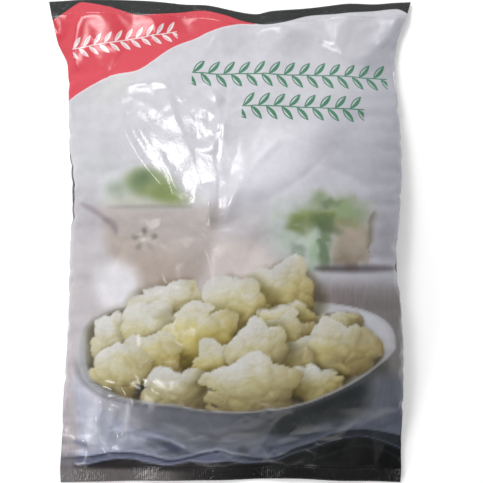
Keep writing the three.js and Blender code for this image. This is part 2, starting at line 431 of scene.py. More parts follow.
# The filling swells under the foot of the pleats, and pushes up a fold near the lower left corner: Gaussian
# swellings as their middle, height and reach
swellings = [((7.8, 24), 7.0, 35.1), ((-75, -152), 2.5, 12)]
for middle, height, reach in swellings:
    crinkles += height * np.exp(-((print_x - middle[0]) ** 2 + (print_y - middle[1]) ** 2) / reach ** 2)
fine_creases = [
    ((-80, 100), (-27, 23), -10, 4.1, 3.5), ((-81, 103), (-43, 76), 9.8, 1.2, 3.3),
    ((-17, 114), (-9, 76), 5.4, 3.6, 6.8), ((-15, 40), (-12, 8), 0, 3.3, 3.1),
    ((12, 45), (-4, 12), 0, 0.8, 5.0), ((-90, -100), (-100, -150), 2, 1.3, 1.8),
    ((-101, -118), (-88, -160), 1, 1.2, 1.6), ((-80, -118), (-92, -158), -1, 1.0, 1.5),
    ((-72, -112), (-76, -96), 1, 1.4, 2), ((48, -150), (70, -158), 2, 1.1, 1.6)]
crinkles += sum(crease(print_x, print_y, *one) for one in fine_creases)
film_points[..., 2] += np.where(on_front, crinkles, 0)

# The top seal is pushed outwards right of its middle, both seals hang down, and nothing is lower than the
# seam under the back
top_push = 2.4
more_droop = 2.2
seam_thickness = 0.35
pushed = smoothstep(print_x, -38, -14) * smoothstep(print_x, 112, 84) * smoothstep(seal_gap, 22, 0)
film_points[..., 1] += top_push * pushed * (print_y > 0)
film_points[..., 2] -= more_droop * np.clip(-seal_gap / seal_depth, 0, 1)
lowest = np.where(on_front, seam_thickness + film_pair, seam_thickness)
film_points[..., 2] = np.maximum(film_points[..., 2], lowest)

film_bag = mesh_object("film_bag", film_points, tube_faces(fine_rows, fine_ring, fine_front))
film_bag.data.polygons.foreach_set("use_smooth", np.ones(len(film_bag.data.polygons), bool))

# The front is printed on the inside of the film: a pale blurred kitchen wall and table with a bowl and
# a leafy head far off, and near the bottom an oval dish heaped with florets on a folded cloth. It is a
# plain serving picture of the part's own, worked out as soft fields of ink, in millimetres.


def ink(red, green, blue):
    """One printed colour, from shares of 255."""
    return np.array([red, green, blue]) / 255


def lay(picture, tone, cover):
    """Lays a colour over the picture by its cover, from 0 for none to 1 for all of it."""
    cover = cover[..., None]
    return picture * (1 - cover) + tone * cover


def lay_all(picture, layers):
    """Lays colours over the picture one after another, each with its own cover."""
    for tone, cover in layers:
        picture = lay(picture, tone, cover)
    return picture


def blend(first, second, share):
    """The first colour where the share is 0, and the second where it is 1."""
    return first + (second - first) * share[..., None]


def inside(distance, blur):
    """1 inside a signed distance and 0 outside, over a blurred edge of that half width."""
    return smoothstep(-distance, -blur, blur)


def line(distance, half_width, blur):
    """1 on a line of that half width where the signed distance is 0, over a blurred edge."""
    return inside(np.abs(distance) - half_width, blur)


def oval(x, y, middle, size, turn=0, power=2):
    """Signed distance to |u|^power + |v|^power = 1, about: an ellipse, and boxier for a higher power."""
    c, s = math.cos(math.radians(turn)), math.sin(math.radians(turn))
    u = ((x - middle[0]) * c + (y - middle[1]) * s) / size[0]
    v = ((y - middle[1]) * c - (x - middle[0]) * s) / size[1]
    return ((np.abs(u) ** power + np.abs(v) ** power) ** (1 / power) - 1) * math.sqrt(size[0] * size[1])


def stroke(x, y, start, end, width, bow=0):
    """Signed distance to a bowed stroke of that half width, thinning out to both of its ends."""
    t, aside, length = beside(x, y, start, end, bow)
    beyond = np.maximum(np.maximum(-t, t - 1), 0) * length
    return np.hypot(aside, beyond) - width * np.sqrt(np.clip(4 * t * (1 - t), 0, 1))


# Florets from the back of the dish to its front: middle x and y, half width and half height, yellowness
# and brightness
florets = [
    (39, -37, 26, 25, 0.50, 1.03), (-42, -48, 30, 23, 0.25, 1.08), (6, -48, 30, 25, 0.55, 1.02),
    (79, -59, 16, 11, 0.30, 0.86), (62, -70, 20, 18, 0.50, 0.74), (38, -53, 24, 12, 0.55, 1.02),
    (44, -66, 19, 19, 0.45, 0.80), (-82, -70, 21, 24, 0.10, 1.08), (-50, -66, 26, 24, 0.45, 1.00),
    (-20, -70, 34, 32, 0.95, 0.96), (-54, -84, 25, 22, 0.75, 0.94), (97, -77, 11, 15, 0.40, 0.80),
    (76, -80, 33, 25, 0.45, 0.86), (-6, -90, 25, 25, 0.70, 0.88), (42, -90, 20, 20, 0.45, 0.80),
    (21, -76, 24, 25, 0.20, 1.05), (-76, -93, 25, 22, 0.35, 1.02), (58, -98, 18, 15, 0.40, 0.88),
    (-36, -106, 30, 19, 0.25, 1.00), (66, -101, 19, 14, 0.45, 0.98), (15, -103, 39, 24, 0.35, 1.03)]
floret_tones = np.stack([ink(58, 47, 38), ink(108, 94, 70), ink(152, 139, 104), ink(187, 177, 140),
                         ink(209, 203, 177), ink(225, 222, 216)])
tone_steps = [0.0, 0.18, 0.40, 0.60, 0.80, 1.0]


def buds(x, y, size, seed):
    """Small buds side by side: for each point the step from the nearest scattered centre, in units of
    the size, and how clearly that centre is the nearest, from 0 in a groove to 1 on a bud."""
    first, second = np.full(x.shape, 9.0), np.full(x.shape, 9.0)
    step_x, step_y = np.zeros_like(x), np.zeros_like(x)
    for i, j, from_u, from_v in cells(x / size, y / size, seed):
        away = np.hypot(from_u, from_v)
        nearer = away < first
        second = np.where(nearer, first, np.minimum(second, away))
        step_x, step_y = np.where(nearer, from_u, step_x), np.where(nearer, from_v, step_y)
        first = np.where(nearer, away, first)
    return step_x, step_y, smoothstep(second - first, 0.0, 0.35)


def paint_floret(picture, x, y, middle_x, middle_y, half_width, half_height, yellow, bright, number):
    """Paints one floret: round lobes on a dome, covered with buds, and lit from the upper left.

    Each lobe is half a ball. Where lobes meet, their normals are mixed by e^(14 * height), which
    leaves a soft groove. The buds lean that normal, and its slope gives the light.
    """
    lobes = 12
    lobe_spread = 0.70
    lobe_size = 0.38
    large_bud = 8.5
    small_bud = 4.6
    u, v = (x - middle_x) / half_width, (y - middle_y) / half_height
    near = np.hypot(u, v) < 1.7
    u, v = u[near], v[near]
    total = np.full(u.shape, 1e-6)
    most = np.zeros_like(u)
    top = np.full(u.shape, -1.0)
    normal = np.zeros(u.shape + (3,))
    for j in range(lobes):
        away = lobe_spread * math.sqrt((j + 0.3) / lobes)
        angle = 2.39996 * j + number * 1.7
        at_u, at_v = away * math.cos(angle), away * math.sin(angle)
        size = lobe_size * (1 + 0.22 * math.sin(3.7 * j + 1.3 * number))
        from_u, from_v = (u - at_u) / size, (v - at_v) / size
        up = np.sqrt(np.clip(1 - from_u ** 2 - from_v ** 2, 0, 1))
        weight = np.exp(14 * (math.sqrt(1 - away * away) + size * up - 1)) * (up > 0)
        top = np.maximum(top, np.where(up > 0, up * size, -1))
        total += weight
        most = np.maximum(most, weight)
        lean = [0.34 * from_u + 0.7 * at_u, 0.34 * from_v + 0.7 * at_v, 0.55 + 0.6 * up]
        normal += weight[:, None] * np.stack(lean, -1)
    normal /= total[:, None]
    large_x, large_y, on_large = buds(x[near], y[near], large_bud, 11 + 4 * number)
    small_x, small_y, on_small = buds(x[near], y[near], small_bud, 13 + 4 * number)
    normal[:, 0] += 0.38 * u + 0.30 * large_x * on_large + 0.09 * small_x * on_small
    normal[:, 1] += 0.38 * v + 0.30 * large_y * on_large + 0.09 * small_y * on_small
    normal /= np.linalg.norm(normal, axis=-1, keepdims=True) + 1e-6
    light = 0.235 + 0.56 * (normal[:, 1] * 0.85 - normal[:, 0] * 0.44) + 0.53 * normal[:, 2]
    groove = 0.86 + 0.14 * smoothstep(most / total, 0.4, 0.9)
    groove *= (0.975 + 0.025 * on_large) * (0.99 + 0.01 * on_small)
    light = np.clip(light * groove * bright, 0, 1)
    tone = np.stack([np.interp(light, tone_steps, floret_tones[:, k]) for k in range(3)], -1)
    tone *= 1 - yellow * np.array([-0.02, 0.02, 0.30]) * smoothstep(normal[:, 1:2], 0.75, 0.0)
    pale = smoothstep(normal[:, 1] - 0.5 * normal[:, 0], 0.25, 0.95) * (0.9 - 0.5 * yellow)
    tone = blend(tone, ink(226, 226, 222), pale * smoothstep(v - 0.3 * u, -0.5, 0.6))
    cover = smoothstep(top * half_height + 1.2 * on_large, 0.6, 4.2)
    shadow = smoothstep(np.hypot(u - 0.05, v + 0.18), 1.26, 0.80) * 0.58
    behind = picture[near] * (1 - shadow[:, None] * np.array([0.62, 0.66, 0.85]))
    picture[near] = lay(behind, tone, cover)


def dish_edge(x, y):
    """Signed distance to the dish's rim: |u|^n + |v|^n = 1, boxier at its left end than its right."""
    u = (x - 6.2) / 112
    v = (y + 76) / np.where(y > -76, 35, 46)
    n = np.where(y > -76, 2.8, 1.75 - 0.35 * np.clip(u, 0, 1) + 2.1 * np.clip(-u - 0.35, 0, 0.55))
    return ((np.abs(u) ** n + np.abs(v) ** n) ** (1 / n) - 1) * 50


def paint_wall(picture, x, y):
    """The pale wall behind and the grey table, with painted shade of the film: darker and cooler towards the
    bag's right side and along two folds, and a painted sheen beside one fold.
    """
    right = smoothstep(y, 175, 60) * 0.75
    table = smoothstep(y, -16 - 0.06 * x, -36 - 0.06 * x) * smoothstep(x, -15, 45)
    return lay_all(picture, [
        # Painted shade: the bag's right side is darker and cooler where the film turns away from the light
        (ink(186, 186, 197), smoothstep(x, 30, 125) * right),
        (ink(176, 176, 188), smoothstep(x, 85, 128) * right),
        # Painted shade in the valley of a soft fold of the film, from the upper right towards the middle
        (ink(190, 189, 201), inside(stroke(x, y, (100, 92), (10, 30), 14, 6), 16) * 0.8),
        (ink(220, 222, 212), inside(oval(x, y, (-88, 110), (18, 10), 25), 12) * 0.5),
        # Painted shade of a fold in the top right corner
        (ink(188, 188, 199), inside(stroke(x, y, (128, 166), (98, 118), 9, 2), 7) * 0.7),
        (ink(205, 204, 212), smoothstep(x, -60, -125) * smoothstep(y, 30, 90) * 0.7),
        (ink(201, 193, 194), smoothstep(y, 40, -10) * smoothstep(x, 70, 20) * 0.8),
        (ink(214, 216, 219), inside(oval(x, y, (-92, 45), (26, 22)), 18) * 0.6),
        # A near-white painted sheen on the fold's lit flank, left of that valley
        (ink(244, 242, 250), inside(oval(x, y, (28, 56), (32, 22), 20), 20) * 0.85),
        (ink(208, 203, 208), inside(oval(x, y, (-104, 4), (16, 34)), 12) * 0.8),
        (ink(188, 184, 190), inside(oval(x, y, (-102, 17), (13, 19)), 12) * 0.7),
        (ink(133, 124, 124), table),
        (ink(117, 113, 114), smoothstep(y, -25, -55) * smoothstep(x, 70, 125) * 0.8),
        (ink(170, 160, 162), inside(oval(x, y, (66, -42), (14, 7), -60), 7) * 0.5),
        (ink(204, 198, 202), smoothstep(y, -5, -30) * smoothstep(x, -45, -70) * 0.8)])


def paint_bowl(picture, x, y):
    """The blurred bowl at the left, with leaves in it, a spoon handle and five spots on its wall."""
    bowl = np.maximum(oval(x, y, (-48, 26), (43, 62)), y - 24)
    wall = blend(ink(198, 190, 188), ink(188, 173, 163), smoothstep(y + 0.25 * x, 15, -45))
    picture = lay_all(picture, [
        (ink(232, 220, 216), inside(oval(x, y, (4, -16), (32, 16), -10), 12) * 0.9),
        (ink(184, 169, 161), inside(oval(x, y, (-45, -24), (25, 12), 8), 12) * 0.9),
        (wall, inside(bowl, 6)),
        (ink(200, 202, 190), inside(oval(x, y, (-55, 29), (32, 6)), 5) * 0.9),
        (ink(160, 153, 148), inside(stroke(x, y, (-86, 24), (-26, 24), 1.4), 1.6) * 0.6)])
    leaves = [((-55, 40), (18, 10), -14, ink(150, 164, 118)), ((-62, 42), (9, 7), 10, ink(128, 146, 108)),
              ((-79, 37), (7, 5), 0, ink(162, 176, 156)), ((-44, 33), (13, 6), -22, ink(142, 157, 98)),
              ((-59, 44), (4, 3), 0, ink(100, 122, 84))]
    for middle, size, turn, tone in leaves:
        picture = lay(picture, tone, inside(oval(x, y, middle, size, turn), 6) * 0.9)
    spoon = [((-106, 27), (-84, 13), 1.6, 1), ((-89, 16), (-79, 5), 2.6, 2)]
    for one in spoon:
        picture = lay(picture, ink(148, 136, 142), inside(stroke(x, y, *one), 2.6) * 0.75)
    spots = 5
    for k in range(spots):
        turn = 360 / spots * k + 20
        middle = (-59 + 7 * math.cos(math.radians(turn)), 1 + 6 * math.sin(math.radians(turn)))
        spot = inside(oval(x, y, middle, (2.4, 1.9), turn), 1.6)
        picture = lay(picture, ink(112, 116, 104), spot * (0.72 - 0.1 * k))
    return lay(picture, ink(242, 240, 245), inside(oval(x, y, (-79, -31), (17, 17)), 7) * 0.95)


def torn(x, y, size, tilt, seed):
    """The places x and y pushed about by facets, so that what is painted there gets broken edges."""
    return x + facets(x, y, size, tilt, seed), y + facets(x, y, size, tilt, seed + 5)


def paint_leafy_head(picture, x, y):
    """The blurred pale head among its leaves at the right, and the far edge of the table under it."""
    # Patches as middle, size, turn, boxiness, colour and blur
    patches = [
        ((62, 6), (34, 25), 0, 2, ink(198, 204, 200), 9), ((36, 10), (8, 17), 0, 2, ink(208, 214, 211), 6),
        ((111, 4), (8, 14), 0, 2, ink(164, 160, 170), 7), ((76, 19), (23, 13), 0, 2, ink(160, 172, 140), 6),
        ((86, -2), (14, 15), 0, 4, ink(172, 159, 142), 4), ((88, 4), (6, 5), 0, 2, ink(186, 172, 156), 4),
        ((83, -14), (11, 4), 0, 2, ink(146, 132, 116), 4), ((84, 13), (11, 4), 0, 2, ink(156, 156, 122), 4),
        ((59, 17), (18, 4.5), 0, 2, ink(150, 166, 106), 3.5),
        ((46.5, 11), (5.5, 7), 10, 2, ink(126, 142, 86), 3.5),
        ((54, 9), (7, 5), 0, 2, ink(146, 158, 116), 3), ((64, 15), (8, 5), -10, 2, ink(112, 132, 88), 3.5),
        ((69, 9), (6.5, 4.5), -20, 2, ink(100, 116, 84), 3),
        ((72, 26), (7, 2.6), -6, 2, ink(126, 142, 112), 2.5),
        ((62, 31), (5, 4), 30, 2, ink(152, 167, 134), 3), ((82, 21), (8, 4.4), -8, 2, ink(160, 182, 138), 3),
        ((48, 1), (14, 7), 0, 2.5, ink(200, 213, 199), 4),
        ((66, -5), (4.6, 14), -3, 2.5, ink(114, 134, 104), 3),
        ((59, -9), (3.6, 10), -4, 2.5, ink(174, 197, 170), 2.5),
        ((48, -6), (5, 3.4), 0, 2, ink(146, 161, 146), 2.5)]
    out_of_focus = 1.35
    torn_x, torn_y = torn(x, y, 9, 0.55, 81)
    for middle, size, turn, power, tone, blur in patches:
        patch = inside(oval(torn_x, torn_y, middle, size, turn, power), out_of_focus * blur)
        picture = lay(picture, tone, patch * 0.9)
    return lay_all(picture, [
        (ink(116, 106, 86), inside(stroke(torn_x, torn_y, (103, 18), (101, -11), 2.0, -2), 2.6) * 0.7),
        (ink(84, 75, 78), inside(stroke(x, y, (60, -19.5), (119, -19.8), 2.6), 2.8) * 0.85)])


def paint_dish(picture, x, y):
    """The cloth, the dish's dark outer wall, its inside, the heap of florets and the rim before them."""
    # Both grow pale towards the left: partly the cloth's and the wall's own tone, partly painted glare of the
    # film there
    cloth = blend(ink(204, 207, 226), ink(93, 99, 116), smoothstep(x, -100, -20))
    wall = blend(ink(242, 238, 248), ink(116, 118, 129), smoothstep(x, -110, -40))
    wall = blend(wall, ink(38, 42, 45), smoothstep(x, -18, 64) * 0.95)
    edge = dish_edge(x, y)
    within = inside(edge, 0.9)
    rim = line(edge + 0.6, 0.7, 0.9)
    picture = lay_all(picture, [
        (cloth, smoothstep(y, -92, -104)),
        (ink(200, 192, 198), smoothstep(x, -106, -116) * smoothstep(y, -60, -80)),
        (wall, inside(oval(x, y, (4, -100), (108, 44)), 7)),
        (ink(34, 40, 42), inside(stroke(x, y, (28, -136), (96, -104), 8, -6), 8) * 0.9),
        (ink(114, 117, 130), inside(stroke(x, y, (106, -92), (113, -134), 9, -2), 8) * 0.85),
        (ink(84, 90, 105), inside(stroke(x, y, (40, -150), (84, -130), 5, 3), 5) * 0.8),
        (blend(ink(160, 155, 141), ink(204, 203, 208), smoothstep(x, -60, 70)), within),
        (ink(206, 206, 216), inside(oval(x, y, (98, -56), (20, 11), -35), 8) * within * 0.8),
        (ink(188, 188, 194), rim * 0.8)])
    empty = picture.copy()
    torn_x, torn_y = torn(x, y, 17, 0.36, 71)
    for number, one in enumerate(florets):
        paint_floret(picture, torn_x, torn_y, *one, number)
    under = line(edge - 1.8, 1.1, 1.4) * smoothstep(y, -80, -95)
    return lay_all(picture, [
        (empty, smoothstep(y, -90, -100) * (1 - within)),
        (ink(176, 177, 184), rim * (1 - smoothstep(y, -84, -66)) * 0.9),
        (ink(96, 98, 102), under * 0.5)])


# The cloth's two edges along the bottom, as points from left to right
upper_hem = [(-128, -161), (-100, -158), (-82, -155.4), (-61, -157.6), (-45, -161.6), (-32, -160.2),
             (-10, -153.7), (1, -156.6), (18, -160.9), (36, -158.8), (47, -152.3), (62, -146.5), (76, -139.6),
             (91, -138.1), (105, -139.3), (126, -144)]
lower_hem = [(-128, -166), (-107, -165.3), (-92, -162.1), (-78, -160.9), (-61, -163.4), (-48, -165.7),
             (-32, -163.4), (-16, -163.4), (1, -162.6), (12, -165), (33, -163), (47, -156.8), (62, -151.6),
             (76, -146.8), (91, -143.9), (105, -145.8), (126, -154)]


def paint_cloth(picture, x, y):
    """The cloth's folds and, at its left, painted highlights of the film's crinkles; its two edges along the
    bottom, and the dark table under it.
    """
    # Folds, and painted highlights of the film, as start, end, half width, bow, colour and blur
    folds_and_glare = [
        # The first two pale lines are painted highlights: glints of the film's crinkles at the lower left
        ((-97, -117), (-103, -154), 5, 0, ink(222, 223, 235), 4),
        ((-71, -112), (-77, -147), 1.4, 0, ink(214, 213, 224), 2.5),
        ((-60, -143), (-36, -154), 5, 2, ink(72, 80, 103), 4),
        ((-73, -138), (-32, -151), 1.6, 4, ink(180, 186, 210), 2),
        ((-116, -148), (-104, -150), 2, 0, ink(118, 122, 146), 2.5),
        ((-48, -130), (-26, -142), 2, 2, ink(142, 146, 162), 3),
        ((-24, -150), (-8, -147), 3, 1, ink(66, 76, 100), 3),
        ((10, -149), (9, -162), 4.5, 0, ink(30, 36, 58), 3),
        ((20, -149), (20, -161), 3.5, 0, ink(108, 116, 140), 3),
        ((30, -150), (34, -158), 3, 0, ink(58, 66, 86), 3)]
    for start, end, width, bow, tone, blur in folds_and_glare:
        picture = lay(picture, tone, inside(stroke(x, y, start, end, width, bow), blur) * 0.8)
    creased = facets(0.3 * x, y - 0.15 * x, 6, 1.0, 91) * smoothstep(y, -124, -142)
    picture = picture * (1 + 0.055 * creased[..., None])
    over_upper = y - smooth_curve(upper_hem, x)
    over_lower = y - smooth_curve(lower_hem, x)
    third = line(over_lower + 8 - 2 * np.sin(x / 14), 0.4, 1.6) * smoothstep(x, 40, 70)
    board = inside(y + 170 + 0.04 * (x + 60), 2) * smoothstep(x, -20, -50)
    right = smoothstep(x, -10, 50)
    return lay_all(picture, [
        (blend(ink(176, 184, 212), ink(104, 109, 124), right), line(over_upper - 1.9, 0.8, 1.5) * 0.8),
        (blend(ink(112, 118, 142), ink(36, 41, 50), right), inside(over_upper, 1)),
        (blend(ink(24, 32, 54), ink(22, 26, 34), right), line(over_upper + 0.7, 0.5, 1.1) * 0.9),
        (blend(ink(166, 171, 194), ink(96, 101, 116), right), line(over_lower - 0.9, 0.4, 1) * 0.8),
        (blend(ink(44, 40, 42), ink(4, 5, 7), smoothstep(x, -30, 40)), inside(over_lower + 0.3, 0.9)),
        (ink(20, 22, 32), line(over_lower + 1.4, 0.6, 1.2) * 0.8),
        (ink(50, 55, 60), third * 0.7),
        (ink(128, 122, 120), board * 0.85),
        (ink(140, 134, 138), smoothstep(x, -110, -118) * smoothstep(y, -150, -166) * 0.9)])


def serving_picture(x, y):
    """The whole picture of the front as colours, for arrays of x and y in millimetres."""
    picture = np.empty(x.shape + (3,))
    picture[:] = ink(216, 215, 222)
    for paint in (paint_wall, paint_bowl, paint_leafy_head, paint_dish, paint_cloth):
        picture = paint(picture, x, y)
    return picture


def linear(colour):
    """Display colours as linear light: ((c + 0.055) / 1.055)^2.4, or c / 12.92 for the darkest."""
    return np.where(colour > 0.04045, ((colour + 0.055) / 1.055) ** 2.4, colour / 12.92)


def add_attribute(piece, name, kind, values):
    """Puts an array of values on the piece's points, as an attribute of that kind."""
    attribute = piece.data.attributes.new(name, kind, "POINT")
    field = {"FLOAT_COLOR": "color", "FLOAT_VECTOR": "vector", "FLOAT": "value"}[kind]
    attribute.data.foreach_set(field, values.astype(np.float32).ravel())


ink_strength = 0.835
picture = linear(serving_picture(print_x, print_y)) * ink_strength
opaque = np.ones(print_x.shape + (1,))
add_attribute(film_bag, "picture", "FLOAT_COLOR", np.concatenate([picture, opaque], -1))
add_attribute(film_bag, "place", "FLOAT_VECTOR", print_points * [1, 1, 0])
add_attribute(film_bag, "film", "FLOAT_VECTOR", flat_points)

# Crisp print edges, as signed distances: the dark band along the top, the red corner field, and the back
band_edge = [(-139.4, 161.9), (-130.3, 164.8), (-112.2, 177.3), (-106.3, 177.3), (-87.5, 173.5),
             (-68.3, 167.7), (-52.9, 168.6), (-26.0, 170.1), (-4.8, 165.8), (11.4, 160.5), (32.3, 158.1),
             (58.5, 165.1), (82.8, 166.5), (124.0, 172.2), (134.3, 167.0)]
red_edge = [(-124.7, 94.9), (-114.0, 105.6), (-98.1, 114.8), (-85.6, 120.6), (-65.3, 124.6),
            (-40.4, 142.7), (-20.2, 150.9), (4.8, 158.1), (19.5, 158.5)]
band_gap = smooth_curve(band_edge, print_x) - print_y
red_gap = np.maximum(smooth_curve(red_edge, print_x) - print_y, print_x - red_edge[-1][0])
# On both sides a sliver of the back's film has rolled round the fold to the front
left_sliver = 7.5 * np.exp(-((print_y - 36) / 32) ** 4)
right_sliver = 6.5 * np.exp(-((print_y + 18) / 8) ** 2)
back_gap = np.where(on_front, from_fold - np.where(film_x < 0, left_sliver, right_sliver), -from_fold)
add_attribute(film_bag, "edges", "FLOAT_VECTOR", np.stack([band_gap, red_gap, back_gap], -1))

# Where the picture has fine grain: on the florets, and on the table at both sides of the dish
to_dish = dish_edge(print_x, print_y)
core = 0.8
on_florets = [inside(oval(print_x, print_y, (x, y), (core * half_width, core * half_height)), 3)
              for x, y, half_width, half_height, yellow, bright in florets]
before_dish = smoothstep(print_y, -90, -100) * (1 - inside(to_dish, 0.9))
floret_cover = np.max(on_florets, 0) * (1 - before_dish)
left_table = smoothstep(print_x, -100, -112) * smoothstep(print_y, -80, -95)
right_table = smoothstep(print_x, 40, 60) * smoothstep(print_y, -26, -34) * inside(-to_dish, 2)
wood = np.maximum(left_table, right_table) * smoothstep(print_y, -20, -30)
add_attribute(film_bag, "grains", "FLOAT_VECTOR", np.stack([floret_cover, wood, crinkled], -1))


class Tree:
    """Adds shader nodes to a tree. An input is a value, or a socket of another node."""

    def __init__(self, tree):
        self.tree = tree

    def add(self, kind, inputs=(), **settings):
        made = self.tree.nodes.new(kind)
        for name, value in settings.items():
            setattr(made, name, value)
        self.feed(made, inputs)
        return made

    def feed(self, node, inputs):
        for name, value in dict(inputs).items():
            if isinstance(value, bpy.types.NodeSocket):
                self.tree.links.new(value, node.inputs[name])
            else:
                node.inputs[name].default_value = value

    def maths(self, operation, *values):
        return self.add("ShaderNodeMath", enumerate(values), operation=operation).outputs[0]

    def axes(self, vector):
        return self.add("ShaderNodeSeparateXYZ", {0: vector}).outputs

    def noise(self, vector, scale, detail, roughness=0.5, distortion=0.0):
        inputs = {"Vector": vector, "Scale": scale, "Detail": detail, "Roughness": roughness,
                  "Distortion": distortion}
        return self.add("ShaderNodeTexNoise", inputs).outputs["Fac"]

    def between(self, value, low, high, out_low=0.0, out_high=1.0):
        inputs = {"Value": value, "From Min": low, "From Max": high, "To Min": out_low, "To Max": out_high}
        return self.add("ShaderNodeMapRange", inputs, interpolation_type="SMOOTHSTEP").outputs[0]

    def mix(self, factor, first, second, kind="MIX"):
        made = self.add("ShaderNodeMix", {0: factor, 6: first, 7: second}, data_type="RGBA", blend_type=kind)
        return made.outputs[2]

    def attribute(self, name):
        return self.add("ShaderNodeAttribute", attribute_name=name).outputs

    def bump(self, height):
        made = self.add("ShaderNodeBump", {"Height": height, "Distance": 0.001, "Strength": 0.6})
        return made.outputs[0]


def shade(red, green, blue):
    """A shader colour from shares of 255, as linear light at the ink's strength."""
    return (*(linear(ink(red, green, blue)) * ink_strength), 1)


def new_material(piece, name):
    """Puts a new material on a piece, and hands over its Tree and its surface."""
    material = bpy.data.materials.new(name)
    material.use_nodes = True
    piece.data.materials.append(material)
    return Tree(material.node_tree), material.node_tree.nodes["Principled BSDF"]


# A printed leaf sprig: a thin stem with a leaf in every cell of a row above it and of one below it. A
# leaf is a lens about an axis that leans forward, with its half width as 4 a (1 - a) along the axis.
sprig_group = bpy.data.node_groups.new("leaf sprig", "ShaderNodeTree")
sprig_sockets = sprig_group.interface
sprig_sockets.new_socket("Place", in_out="INPUT", socket_type="NodeSocketVector")
for name in ("Length", "Pitch", "Leaf Length", "Half Width", "Stroke"):
    sprig_sockets.new_socket(name, in_out="INPUT", socket_type="NodeSocketFloat")
sprig_sockets.new_socket("Cover", in_out="OUTPUT", socket_type="NodeSocketFloat")
nodes = Tree(sprig_group)
given = nodes.add("NodeGroupInput").outputs
axes = nodes.axes(given["Place"])
past_end = nodes.maths("SUBTRACT", axes[0], given["Length"])
on_length = nodes.maths("MULTIPLY", nodes.between(axes[0], -0.3, 0.3), nodes.between(past_end, 0.3, -0.3))
leaf_lean = math.radians(50)
soft = 0.28
leaf_foot = 0.6
vein_gap = 0.3
stem_gap = nodes.maths("MULTIPLY_ADD", given["Stroke"], -0.5, nodes.maths("ABSOLUTE", axes[1]))
sprig_cover = nodes.between(stem_gap, soft, -soft)
for side, start in ((1, 0.0), (-1, 0.5)):
    moved = nodes.maths("MULTIPLY_ADD", given["Pitch"], start, axes[0])
    step = nodes.maths("SUBTRACT", nodes.maths("FLOORED_MODULO", moved, given["Pitch"]), leaf_foot)
    rise = nodes.maths("MULTIPLY", axes[1], side)
    upward = nodes.maths("MULTIPLY", rise, math.sin(leaf_lean))
    along_leaf = nodes.maths("MULTIPLY_ADD", step, math.cos(leaf_lean), upward)
    across_leaf = nodes.maths("SUBTRACT", nodes.maths("MULTIPLY", rise, math.cos(leaf_lean)),
                              nodes.maths("MULTIPLY", step, math.sin(leaf_lean)))
    share = nodes.maths("DIVIDE", along_leaf, given["Leaf Length"])
    lens = nodes.maths("MULTIPLY", nodes.maths("MULTIPLY", share, nodes.maths("SUBTRACT", 1.0, share)), 4.0)
    half_width = nodes.maths("MULTIPLY", lens, given["Half Width"])
    leaf_gap = nodes.maths("SUBTRACT", nodes.maths("ABSOLUTE", across_leaf), half_width)
    # The leaf's upper half is filled, and its lower half is only an outline
    in_outline = nodes.maths("ADD", leaf_gap, given["Stroke"])
    open_gap = nodes.maths("MAXIMUM", in_outline, nodes.maths("SUBTRACT", vein_gap, across_leaf))
    leaf = nodes.maths("MULTIPLY", nodes.between(leaf_gap, soft, -soft), nodes.between(open_gap, -soft, soft))
    sprig_cover = nodes.maths("MAXIMUM", sprig_cover, leaf)
nodes.add("NodeGroupOutput", {"Cover": nodes.maths("MULTIPLY", sprig_cover, on_length)})

nodes, surface = new_material(film_bag, "printed_film")
place = nodes.attribute("place")["Vector"]
film_place = nodes.attribute("film")["Vector"]
to_band, to_red, to_back = nodes.axes(nodes.attribute("edges")["Vector"])
floret_grain, wood_grain, crinkle_grain = nodes.axes(nodes.attribute("grains")["Vector"])
colour = nodes.attribute("picture")["Color"]

# Fine buds of the florets: the difference of one noise at two nearby places looks like side light
aside = nodes.add("ShaderNodeVectorMath", {0: place, 1: (0.5, -0.9, 0.0)}, operation="ADD").outputs[0]
bud_light = nodes.maths("SUBTRACT", nodes.noise(aside, 0.33, 3.0, 0.6), nodes.noise(place, 0.33, 3.0, 0.6))
bud_light = nodes.maths("MULTIPLY_ADD", nodes.maths("MULTIPLY", bud_light, floret_grain), 0.26, 1.0)
colour = nodes.mix(1.0, colour, bud_light, "MULTIPLY")

# Long grain of the table's boards
stretch = {"Vector": place, "Scale": (0.5, 0.06, 1.0), "Rotation": (0, 0, 0.12)}
boards = nodes.noise(nodes.add("ShaderNodeMapping", stretch).outputs[0], 1.0, 4.0)
board_light = nodes.between(boards, 0.3, 0.7, -0.07, 0.06)
board_light = nodes.maths("MULTIPLY_ADD", board_light, wood_grain, 1.0)
colour = nodes.mix(1.0, colour, board_light, "MULTIPLY")

# Uneven ink all over
mottle_light = nodes.between(nodes.noise(place, 0.12, 5.0, 0.62), 0.3, 0.7, 0.955, 1.035)
colour = nodes.mix(1.0, colour, mottle_light, "MULTIPLY")

# The red corner with its pale rim, and the sprigs
red_rim = nodes.maths("ABSOLUTE", nodes.maths("SUBTRACT", to_red, 0.7))
colour = nodes.mix(nodes.between(red_rim, 1.0, 0.2, 0.0, 0.55), colour, shade(246, 232, 236))
colour = nodes.mix(nodes.between(to_red, 0.35, -0.35), colour, shade(226, 76, 90))
green_leaves = {"Pitch": 11.0, "Leaf Length": 13.0, "Half Width": 2.3, "Stroke": 0.9}
white_leaves = {"Pitch": 7.8, "Leaf Length": 10.5, "Half Width": 1.5, "Stroke": 0.7}
sprigs = [((-27, 121.5), -0.8, 143, green_leaves, shade(72, 136, 106)),
          ((9, 96.5), -1.2, 88, green_leaves, shade(72, 136, 106)),
          ((-116, 141.5), 10, 78, white_leaves, shade(246, 236, 238))]
for start, turn, length, leaves, tone in sprigs:
    turned = {"Vector": place, "Location": (*start, 0), "Rotation": (0, 0, math.radians(turn))}
    placed = nodes.add("ShaderNodeMapping", turned, vector_type="TEXTURE").outputs[0]
    inputs = {"Place": placed, "Length": length, **leaves}
    cover = nodes.add("ShaderNodeGroup", inputs, node_tree=sprig_group).outputs["Cover"]
    colour = nodes.mix(cover, colour, tone)

